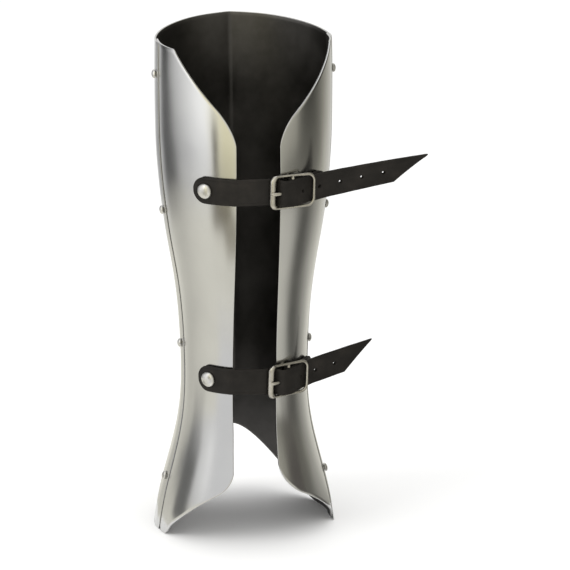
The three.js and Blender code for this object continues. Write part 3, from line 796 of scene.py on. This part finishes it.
def strap_pieces(strap, buckle):
    """The strap, with its holes and the slit that its tongue goes through, and its rivet."""
    name = strap["name"]
    fine = smoothed(strap_stations(strap, buckle), 10)
    length = fine[-1][2]
    half = STRAP_WIDTH / 2
    bend_end = length - strap["tail"]
    bend_start = bend_end - BEND_LENGTH
    distances = end_steps(half)
    distances += spread_steps(half, bend_start, PLAIN_STEP)
    distances += spread_steps(bend_start, bend_end, BEND_STEP)
    distances += spread_steps(bend_end, length - STRAP_POINT, PLAIN_STEP)
    distances += spread_steps(length - STRAP_POINT, length, POINT_STEP)
    stations = []
    for distance in distances:
        point, up = station_at(fine, distance)
        tail_share = max((distance - bend_end) / strap["tail"], 0.0)
        point_share = max((distance - length + STRAP_POINT) / STRAP_POINT, 0.0)
        reach = round_end(distance, half)
        along_edge = Vector((distance / EDGE_WANDER["length"], strap["height"], 0))
        wander = EDGE_WANDER["depth"] * noise.noise(along_edge) * min(distance / half, 1.0)
        stations.append({
            "point": point,
            "up": up,
            "above": reach + wander,
            "below": reach - point_share * STRAP_WIDTH * POINT_SLANT + wander,
            "roll": math.radians(strap["twist"]) * tail_share,
            "share": edge_share(min(distance, length - distance), STRAP_THICKNESS),
        })
    verts, faces = strip_mesh(stations, STRAP_THICKNESS)
    piece = new_piece(name + "_strap_leather", verts, faces, [LEATHER], [name + "_strap"])

    cutters = [tongue_mesh(buckle, TONGUE_ROOM)]
    place = length - FIRST_HOLE_FROM_TIP
    while place > bend_end - KEEPER_PLACE:
        before, middle, after = (station_at(fine, place + step)[0] for step in (-1, 0, 1))
        reach = (after - before).cross(buckle.up).normalized() * STRAP_THICKNESS
        back, face = HOLE_RADIUS * HOLE_TAPER["back"], HOLE_RADIUS * HOLE_TAPER["face"]
        cutters.append(rod_mesh(middle - reach, middle + reach, back, face))
        place -= HOLE_SPACING
    cut(piece, cutters)
    piece.data.set_sharp_from_angle(angle=SHARP_ANGLE)

    angle = math.pi - strap["rivet_reach"] / half_width_at(strap["height"])
    lift = PLATE_WALL + LEATHER_GAP + STRAP_THICKNESS + CLEARANCE
    rivet_piece(name + "_strap_rivet", angle, strap["height"], lift, STRAP_RIVET)


def tab_pieces(strap, buckle):
    """The tab folded round the centre bar, and its rivet."""
    name = strap["name"]
    half = TAB_THICKNESS / 2
    loop_radius = CENTRE_BAR_RADIUS + LEATHER_GAP + half
    half_width = half_width_at(strap["height"])
    tab_end = TAB_RIVET_REACH + TAB_WIDTH / 2 - 1

    def layer(level):
        lift = PLATE_WALL + LEATHER_GAP + half + level * (TAB_THICKNESS + CLEARANCE)
        found = []
        for reach in (tab_end, TAB_RIVET_REACH, TAB_RIVET_REACH * 0.72, TAB_RIVET_REACH * 0.5):
            point, _, up = form_frame(buckle.angle + reach / half_width, strap["height"], lift)
            found.append((point, up))
        return found

    fold = []
    fold_steps = 6
    for k in range(fold_steps + 1):
        turn = -math.pi / 2 - k / fold_steps * math.pi
        point = buckle.at(loop_radius * math.cos(turn), BAR_LIFT + loop_radius * math.sin(turn))
        fold.append((point, buckle.up))
    fine = smoothed(layer(0) + fold + layer(1)[::-1], 10)
    length = fine[-1][2]
    reach_half = TAB_WIDTH / 2
    ends = end_steps(reach_half)
    distances = ends + spread_steps(reach_half, length - reach_half, TAB_STEP)
    distances += [length - d for d in reversed(ends[:-1])]
    stations = []
    for distance in distances:
        point, up = station_at(fine, distance)
        from_end = min(distance, length - distance)
        reach = round_end(from_end, reach_half)
        stations.append({
            "point": point, "up": up, "above": reach, "below": reach, "roll": 0.0,
            "share": edge_share(from_end, TAB_THICKNESS),
        })
    verts, faces = strip_mesh(stations, TAB_THICKNESS)
    piece = new_piece(name + "_tab_leather", verts, faces, [LEATHER], [name + "_buckle_tab"])
    slot_half = FOLD_RADIUS + CLEARANCE
    side = TONGUE_WIDTH / 2 + CLEARANCE
    corners = [
        buckle.at(u * slot_half, BAR_LIFT + v * 2 * slot_half, w * side)
        for w in (-1, 1) for u, v in ((-1, -1), (1, -1), (1, 1), (-1, 1))
    ]
    cut(piece, [(corners, tube_faces(2, 4, False))])
    piece.data.set_sharp_from_angle(angle=SHARP_ANGLE)

    lift = PLATE_WALL + LEATHER_GAP + 2 * CLEARANCE + 2 * TAB_THICKNESS
    angle = buckle.angle + TAB_RIVET_REACH / half_width
    rivet_piece(name + "_tab_rivet", angle, strap["height"], lift, TAB_RIVET)


# The buckles

def tongue_mesh(buckle, swell):
    """The tongue, curled round the centre bar and resting on the end bar, grown by swell on all sides."""
    ring_radius = CENTRE_BAR_RADIUS + CLEARANCE + TONGUE_WALL / 2
    tip = END_BAR_PLACE - END_BAR_RADIUS * 0.9 - swell
    path = []
    turns = 22
    for k in range(turns + 1):
        turn = math.radians(mix(TONGUE_CURL["start"], TONGUE_CURL["end"], k / turns))
        path.append((ring_radius * math.cos(turn), BAR_LIFT + ring_radius * math.sin(turn), 1.0))
    path.append((END_BAR_PLACE + END_BAR_RADIUS * 2.2, TONGUE_TOP - 0.15, 1.0))
    path.append((END_BAR_PLACE + END_BAR_RADIUS, TONGUE_TOP, 1.0))
    path.append((END_BAR_PLACE, TONGUE_TOP, 0.92))
    path.append((mix(END_BAR_PLACE, tip, 0.6), TONGUE_TOP - 0.25, 0.75))
    path.append((tip, TONGUE_TOP - 0.6, 0.5))
    half = TONGUE_WALL / 2
    side = TONGUE_WIDTH / 2
    section = [(1, -TONGUE_SIDE), (1, TONGUE_SIDE), (TONGUE_FACE, 1), (-TONGUE_FACE, 1)]
    section += [(-across, -level) for across, level in section]
    verts = []
    last = len(path) - 1
    for i, (u, v, share) in enumerate(path):
        before, after = path[max(i - 1, 0)], path[min(i + 1, last)]
        along = Vector((after[0] - before[0], after[1] - before[1])).normalized()
        thick = half * share + swell
        wide = side * (0.5 + 0.5 * share) + swell
        for across, level in section:
            shift = level * thick
            verts.append(buckle.at(u - along.y * shift, v + along.x * shift, across * wide))
    return verts, tube_faces(len(path), len(section), False)


def buckle_pieces(strap, buckle):
    """The frame is a rounded loop of wire, thicker at its end bar, with a bar across its middle."""
    name = strap["name"]
    top = BUCKLE_HEIGHT / 2 - WIRE_RADIUS
    loop = []

    def arc(u, w, corner, start):
        steps = 9
        for k in range(steps + 1):
            turn = start + k / steps * math.pi / 2
            loop.append((u + corner * math.cos(turn), w + corner * math.sin(turn)))

    def side(u0, w0, u1, w1):
        spans = 8
        for k in range(1, spans):
            loop.append((mix(u0, u1, k / spans), mix(w0, w1, k / spans)))

    right, left = KEEPER_PLACE - KEEPER_CORNER, END_BAR_PLACE + BUCKLE_CORNER
    right_top, left_top = top - KEEPER_CORNER, top - BUCKLE_CORNER
    arc(right, right_top, KEEPER_CORNER, 0)
    side(right, top, left, top)
    arc(left, left_top, BUCKLE_CORNER, math.pi / 2)
    side(END_BAR_PLACE, left_top, END_BAR_PLACE, -left_top)
    arc(left, -left_top, BUCKLE_CORNER, math.pi)
    side(left, -top, right, -top)
    arc(right, -right_top, KEEPER_CORNER, 3 * math.pi / 2)
    side(KEEPER_PLACE, -right_top, KEEPER_PLACE, right_top)
    sides = 16
    count = len(loop)
    verts = []
    for i, (u, w) in enumerate(loop):
        before, after = loop[i - 1], loop[(i + 1) % count]
        along = Vector((after[0] - before[0], after[1] - before[1])).normalized()
        near_end = smooth_step((END_BAR_PLACE + BUCKLE_CORNER - u) / BUCKLE_CORNER)
        radius = mix(WIRE_RADIUS, END_BAR_RADIUS, near_end)
        for k in range(sides):
            turn = k / sides * math.tau
            across = radius * math.cos(turn)
            lift = BAR_LIFT + radius * math.sin(turn)
            verts.append(buckle.at(u + along.y * across, lift, w - along.x * across))
    faces = tube_faces(count, sides, True)
    bar_verts, bar_faces = rod_mesh(
        buckle.at(0, BAR_LIFT, -top), buckle.at(0, BAR_LIFT, top), CENTRE_BAR_RADIUS, CENTRE_BAR_RADIUS
    )
    faces += [tuple(len(verts) + i for i in face) for face in bar_faces]
    verts += bar_verts
    new_piece(name + "_buckle_wire", verts, faces, [BUCKLE_METAL], [name + "_buckle_frame"])
    verts, faces = tongue_mesh(buckle, 0.0)
    new_piece(name + "_tongue_wire", verts, faces, [BUCKLE_METAL], [name + "_buckle_tongue"])


shin_plate()
side_lift = SHIN_LIFT + PLATE_WALL + CLEARANCE
for key, calf_cut in CALF_CUTS.items():
    calf_plate(key)
    side_angle = calf_cut["side"] * SEAM_ANGLE
    for i in range(SIDE_RIVETS):
        height = mix(LOWEST_RIVET, HIGHEST_RIVET, i / (SIDE_RIVETS - 1))
        rivet_piece(f"{key}_side_rivet_{i + 1}", side_angle, height, side_lift, SIDE_RIVET)
for strap in STRAPS:
    buckle = Buckle(strap)
    strap_pieces(strap, buckle)
    tab_pieces(strap, buckle)
    buckle_pieces(strap, buckle)


# The stage. Sideways angles are in degrees from the camera's side, positive to the left of the image.

CAMERA_AZIMUTH = 171.0
CAMERA_ELEVATION = 15.5
CAMERA_DISTANCE = 3.35
CAMERA_LENS = 270.0
TARGET_RIGHT = 0.0318
TARGET_HEIGHT = 0.195
FLOOR_REACH = 30.0
FLOOR_COLOUR = (0.965, 0.965, 0.96, 1)
WORLD_STRENGTH = 1.05

# The reflected room: the brightness of its floor and of its wall low down and high up, and its warmth
ROOM_RADIUS = 0.95
ROOM = [
    {"sideways": -181, "floor": 0.90, "low": 0.85, "high": 0.85, "warm": 0.1},
    {"sideways": -150, "floor": 0.75, "low": 0.68, "high": 0.60, "warm": 0.3},
    {"sideways": -140, "floor": 0.64, "low": 0.62, "high": 0.46, "warm": 0.4},
    {"sideways": -130, "floor": 0.48, "low": 0.46, "high": 0.32, "warm": 0.5},
    {"sideways": -120, "floor": 0.36, "low": 0.28, "high": 0.23, "warm": 0.5},
    {"sideways": -112, "floor": 0.24, "low": 0.21, "high": 0.13, "warm": 0.5},
    {"sideways": -104, "floor": 0.13, "low": 0.18, "high": 0.08, "warm": 0.5},
    {"sideways": -94, "floor": 0.13, "low": 0.17, "high": 0.07, "warm": 0.5},
    {"sideways": -88, "floor": 0.26, "low": 0.17, "high": 0.09, "warm": 0.5},
    {"sideways": -80, "floor": 0.52, "low": 0.18, "high": 0.20, "warm": 0.5},
    {"sideways": -72, "floor": 0.64, "low": 0.19, "high": 0.48, "warm": 0.5},
    {"sideways": -60, "floor": 0.68, "low": 0.24, "high": 0.54, "warm": 0.5},
    {"sideways": -48, "floor": 0.70, "low": 0.45, "high": 0.55, "warm": 0.5},
    {"sideways": -25, "floor": 0.78, "low": 0.60, "high": 0.65, "warm": 0.3},
    {"sideways": 4, "floor": 0.86, "low": 0.75, "high": 0.85, "warm": 0.2},
    {"sideways": 20, "floor": 0.88, "low": 0.74, "high": 1.05, "warm": 1.0},
    {"sideways": 33, "floor": 0.88, "low": 0.66, "high": 1.05, "warm": 1.0},
    {"sideways": 46, "floor": 0.90, "low": 0.84, "high": 1.28, "warm": 0.5},
    {"sideways": 56, "floor": 0.90, "low": 0.92, "high": 1.42, "warm": 0.0},
    {"sideways": 66, "floor": 0.90, "low": 0.92, "high": 1.32, "warm": 0.0},
    {"sideways": 78, "floor": 0.88, "low": 0.78, "high": 1.12, "warm": 0.0},
    {"sideways": 88, "floor": 0.84, "low": 0.66, "high": 0.98, "warm": 0.0},
    {"sideways": 97, "floor": 0.80, "low": 0.56, "high": 0.86, "warm": 0.0},
    {"sideways": 105, "floor": 0.75, "low": 0.40, "high": 0.76, "warm": 0.0},
    {"sideways": 112, "floor": 0.71, "low": 0.25, "high": 0.55, "warm": 0.0},
    {"sideways": 119, "floor": 0.69, "low": 0.15, "high": 0.10, "warm": 0.0},
    {"sideways": 130, "floor": 0.72, "low": 0.13, "high": 0.07, "warm": 0.0},
    {"sideways": 136, "floor": 0.78, "low": 0.22, "high": 0.30, "warm": 0.0},
    {"sideways": 143, "floor": 0.85, "low": 0.55, "high": 0.85, "warm": 0.0},
    {"sideways": 158, "floor": 0.90, "low": 0.90, "high": 1.00, "warm": 0.0},
    {"sideways": 181, "floor": 0.90, "low": 0.85, "high": 0.85, "warm": 0.1},
]
FLOOR_WARMTH = 0.35
WARM_TINT = (1.0, 0.94, 0.66)

# The room's rings, in shares of ROOM_RADIUS and in metres, with the weight of each column of ROOM
ROOM_RINGS = [
    {"reach": 0.10, "height": 0.0005, "floor": 1.0, "low": 0.0, "high": 0.0},
    {"reach": 0.70, "height": 0.0005, "floor": 1.0, "low": 0.0, "high": 0.0},
    {"reach": 0.97, "height": 0.0005, "floor": 0.0, "low": 1.0, "high": 0.0},
    {"reach": 1.00, "height": 0.0005, "floor": 0.0, "low": 1.0, "high": 0.0},
    {"reach": 1.00, "height": 0.08, "floor": 0.0, "low": 1.0, "high": 0.0},
    {"reach": 1.00, "height": 0.16, "floor": 0.0, "low": 0.5, "high": 0.5},
    {"reach": 1.00, "height": 0.24, "floor": 0.0, "low": 0.0, "high": 1.0},
    {"reach": 1.00, "height": 2.2, "floor": 0.0, "low": 0.0, "high": 1.0},
]

# The flags and papers near the object, in metres, and the share of each that its soft edges leave plain
CARD_CORE = 0.45
CARDS = [
    {"name": "flag_streak", "sideways": 40, "distance": 0.3, "width": 0.048, "low": 0.18, "high": 0.34,
     "colour": (0.05, 0.044, 0.03)},
    # flag_shade and flag_shade_low are painted shade: dark cards that put a soft shade below the upper strap
    # into the plate's reflections
    {"name": "flag_shade", "sideways": 36, "distance": 0.3, "width": 0.22, "low": 0.115, "high": 0.22,
     "colour": (0.17, 0.15, 0.11)},
    {"name": "flag_shade_low", "sideways": 24, "distance": 0.3, "width": 0.15, "low": 0.07, "high": 0.17,
     "colour": (0.34, 0.315, 0.25)},
    {"name": "flag_outer", "sideways": 83, "distance": 0.15, "width": 0.085, "low": -0.03, "high": 0.095,
     "colour": (0.17, 0.17, 0.165)},
    {"name": "flag_inner", "sideways": -69, "distance": 0.15, "width": 0.08, "low": -0.03, "high": 0.1,
     "colour": (0.12, 0.11, 0.1)},
    {"name": "paper_front", "sideways": 28, "distance": 0.15, "width": 0.16, "low": -0.03, "high": 0.14,
     "colour": (0.85, 0.85, 0.86)},
    {"name": "highlight", "sideways": 48, "distance": 0.9, "width": 0.3, "low": 0.75, "high": 1.1,
     "colour": (1.0, 1.0, 1.0), "strength": 3.0},
]

# The lights, in metres and watts
LIGHTS = [
    {"name": "key", "sideways": 55, "height": 1.5, "distance": 1.8, "size": 1.2, "power": 14,
     "colour": (1.0, 0.99, 0.97)},
    {"name": "fill", "sideways": -50, "height": 1.2, "distance": 1.8, "size": 1.4, "power": 5,
     "colour": (1.0, 0.98, 0.95)},
]

azimuth = math.radians(CAMERA_AZIMUTH)
elevation = math.radians(CAMERA_ELEVATION)
towards_camera = Vector((math.sin(azimuth), -math.cos(azimuth), 0))
image_right = Vector((math.cos(azimuth), math.sin(azimuth), 0))


def direction(sideways):
    angle = math.radians(sideways)
    return towards_camera * math.cos(angle) - image_right * math.sin(angle)


def glowing_material(name, colour, strength):
    """A plain glow, returned with its glow and output nodes."""
    material = bpy.data.materials.new(name)
    material.use_nodes = True
    tree = material.node_tree
    tree.nodes.clear()
    glow = tree.nodes.new("ShaderNodeEmission")
    glow.inputs["Color"].default_value = (*colour, 1)
    glow.inputs["Strength"].default_value = strength
    output = tree.nodes.new("ShaderNodeOutputMaterial")
    tree.links.new(glow.outputs["Emission"], output.inputs["Surface"])
    return material, glow, output


def edge_fade(tree, place):
    """One in the core of a card and nothing at its edges, by the place along one of its axes."""
    away = tree.nodes.new("ShaderNodeMath")
    away.operation = "ABSOLUTE"
    tree.links.new(place, away.inputs[0])
    fade = tree.nodes.new("ShaderNodeMapRange")
    fade.interpolation_type = "SMOOTHSTEP"
    fade.inputs["From Min"].default_value = 1.0
    fade.inputs["From Max"].default_value = CARD_CORE
    tree.links.new(away.outputs[0], fade.inputs["Value"])
    return fade.outputs["Result"]


def card_material(name, colour, strength):
    """A glow that fades to nothing at the card's edges."""
    material, glow, output = glowing_material(name, colour, strength)
    tree = material.node_tree
    where = tree.nodes.new("ShaderNodeTexCoord")
    places = tree.nodes.new("ShaderNodeSeparateXYZ")
    tree.links.new(where.outputs["Object"], places.inputs[0])
    cover = tree.nodes.new("ShaderNodeMath")
    cover.operation = "MULTIPLY"
    for i, axis in enumerate(("X", "Z")):
        tree.links.new(edge_fade(tree, places.outputs[axis]), cover.inputs[i])
    clear = tree.nodes.new("ShaderNodeBsdfTransparent")
    blend = tree.nodes.new("ShaderNodeMixShader")
    tree.links.new(cover.outputs[0], blend.inputs["Fac"])
    tree.links.new(clear.outputs[0], blend.inputs[1])
    tree.links.new(glow.outputs[0], blend.inputs[2])
    tree.links.new(blend.outputs[0], output.inputs["Surface"])
    return material


def show_in_reflections(made):
    made.visible_camera = False
    made.visible_diffuse = False
    made.visible_transmission = False
    made.visible_shadow = False


def card(name, sideways, distance, width, low, high, colour, strength=1.0):
    """An upright card with soft edges that faces the object and shows in its reflections alone."""
    towards = direction(sideways)
    across = towards.cross(UP)
    mesh = bpy.data.meshes.new(name)
    mesh.from_pydata([(-1, 0, -1), (1, 0, -1), (1, 0, 1), (-1, 0, 1)], [], [(0, 1, 2, 3)])
    mesh.materials.append(card_material(name, colour, strength))
    made = new_object(name, mesh)
    made.location = AXIS + towards * distance + UP * ((low + high) / 2)
    made.rotation_euler = (0, 0, math.atan2(across.y, across.x))
    made.scale = (width / 2, 1, (high - low) / 2)
    show_in_reflections(made)


def reflected_room():
    """A round floor and wall that show in reflections alone, with white paper and dark corners in turn."""
    steps = 240
    verts = []
    shades = []
    for ring in ROOM_RINGS:
        for i in range(steps):
            sideways = i / steps * 360 - 180
            reach = ROOM_RADIUS * ring["reach"]
            verts.append(AXIS + direction(sideways) * reach + UP * ring["height"])
            after = next(k for k, row in enumerate(ROOM) if row["sideways"] > sideways)
            a, b = ROOM[after - 1], ROOM[after]
            t = (sideways - a["sideways"]) / (b["sideways"] - a["sideways"])
            shade = sum(ring[column] * mix(a[column], b[column], t) for column in ("floor", "low", "high"))
            warm = mix(mix(a["warm"], b["warm"], t), FLOOR_WARMTH, ring["floor"])
            shades.append((*(shade * mix(1.0, tint, warm) for tint in WARM_TINT), 1.0))
    faces = []
    for k in range(len(ROOM_RINGS) - 1):
        near, far = k * steps, (k + 1) * steps
        for i in range(steps):
            turned = (i + 1) % steps
            faces.append((near + i, near + turned, far + turned, far + i))
    mesh = bpy.data.meshes.new("reflected_room")
    mesh.from_pydata(verts, [], faces)
    colours = mesh.color_attributes.new("shade", "FLOAT_COLOR", "POINT")
    for i, shade in enumerate(shades):
        colours.data[i].color = shade
    material, glow, _ = glowing_material("reflected room", (1, 1, 1), 1.0)
    shade_node = material.node_tree.nodes.new("ShaderNodeVertexColor")
    shade_node.layer_name = "shade"
    material.node_tree.links.new(shade_node.outputs["Color"], glow.inputs["Color"])
    mesh.materials.append(material)
    show_in_reflections(new_object("reflected_room", mesh))


def soft_light(name, sideways, height, distance, size, power, colour):
    """A square light that lights the object without showing in its reflections."""
    light = bpy.data.lights.new(name, "AREA")
    light.shape = "SQUARE"
    light.size = size
    light.energy = power
    light.color = colour
    made = new_object(name, light)
    made.location = AXIS + direction(sideways) * distance + UP * height
    aim = AXIS + UP * TARGET_HEIGHT - made.location
    made.rotation_euler = aim.to_track_quat("-Z", "Y").to_euler()
    made.visible_camera = False
    made.visible_glossy = False


def floor():
    mesh = bpy.data.meshes.new("studio_floor")
    corners = [(FLOOR_REACH * x, FLOOR_REACH * y, 0) for x, y in ((-1, -1), (1, -1), (1, 1), (-1, 1))]
    mesh.from_pydata(corners, [], [(0, 1, 2, 3)])
    material, _, shader = node_material("studio floor", 0.0, 0.8)
    shader.inputs["Base Color"].default_value = FLOOR_COLOUR
    shader.inputs["Specular IOR Level"].default_value = 0.1
    mesh.materials.append(material)
    new_object("studio_floor", mesh)


floor()
reflected_room()
for row in CARDS:
    card(**row)
for row in LIGHTS:
    soft_light(**row)

world = bpy.data.worlds.new("studio")
world.use_nodes = True
background = world.node_tree.nodes["Background"]
background.inputs["Color"].default_value = (1, 1, 1, 1)
background.inputs["Strength"].default_value = WORLD_STRENGTH
bpy.context.scene.world = world
bpy.context.scene.view_settings.view_transform = "Standard"

lens = bpy.data.cameras.new("camera")
lens.sensor_width = 36
lens.lens = CAMERA_LENS
camera = new_object("camera", lens)
target = AXIS + image_right * TARGET_RIGHT + UP * TARGET_HEIGHT
back = towards_camera * math.cos(elevation) + UP * math.sin(elevation)
camera.location = target + back * CAMERA_DISTANCE
camera.rotation_euler = (-back).to_track_quat("-Z", "Y").to_euler()
bpy.context.scene.camera = camera
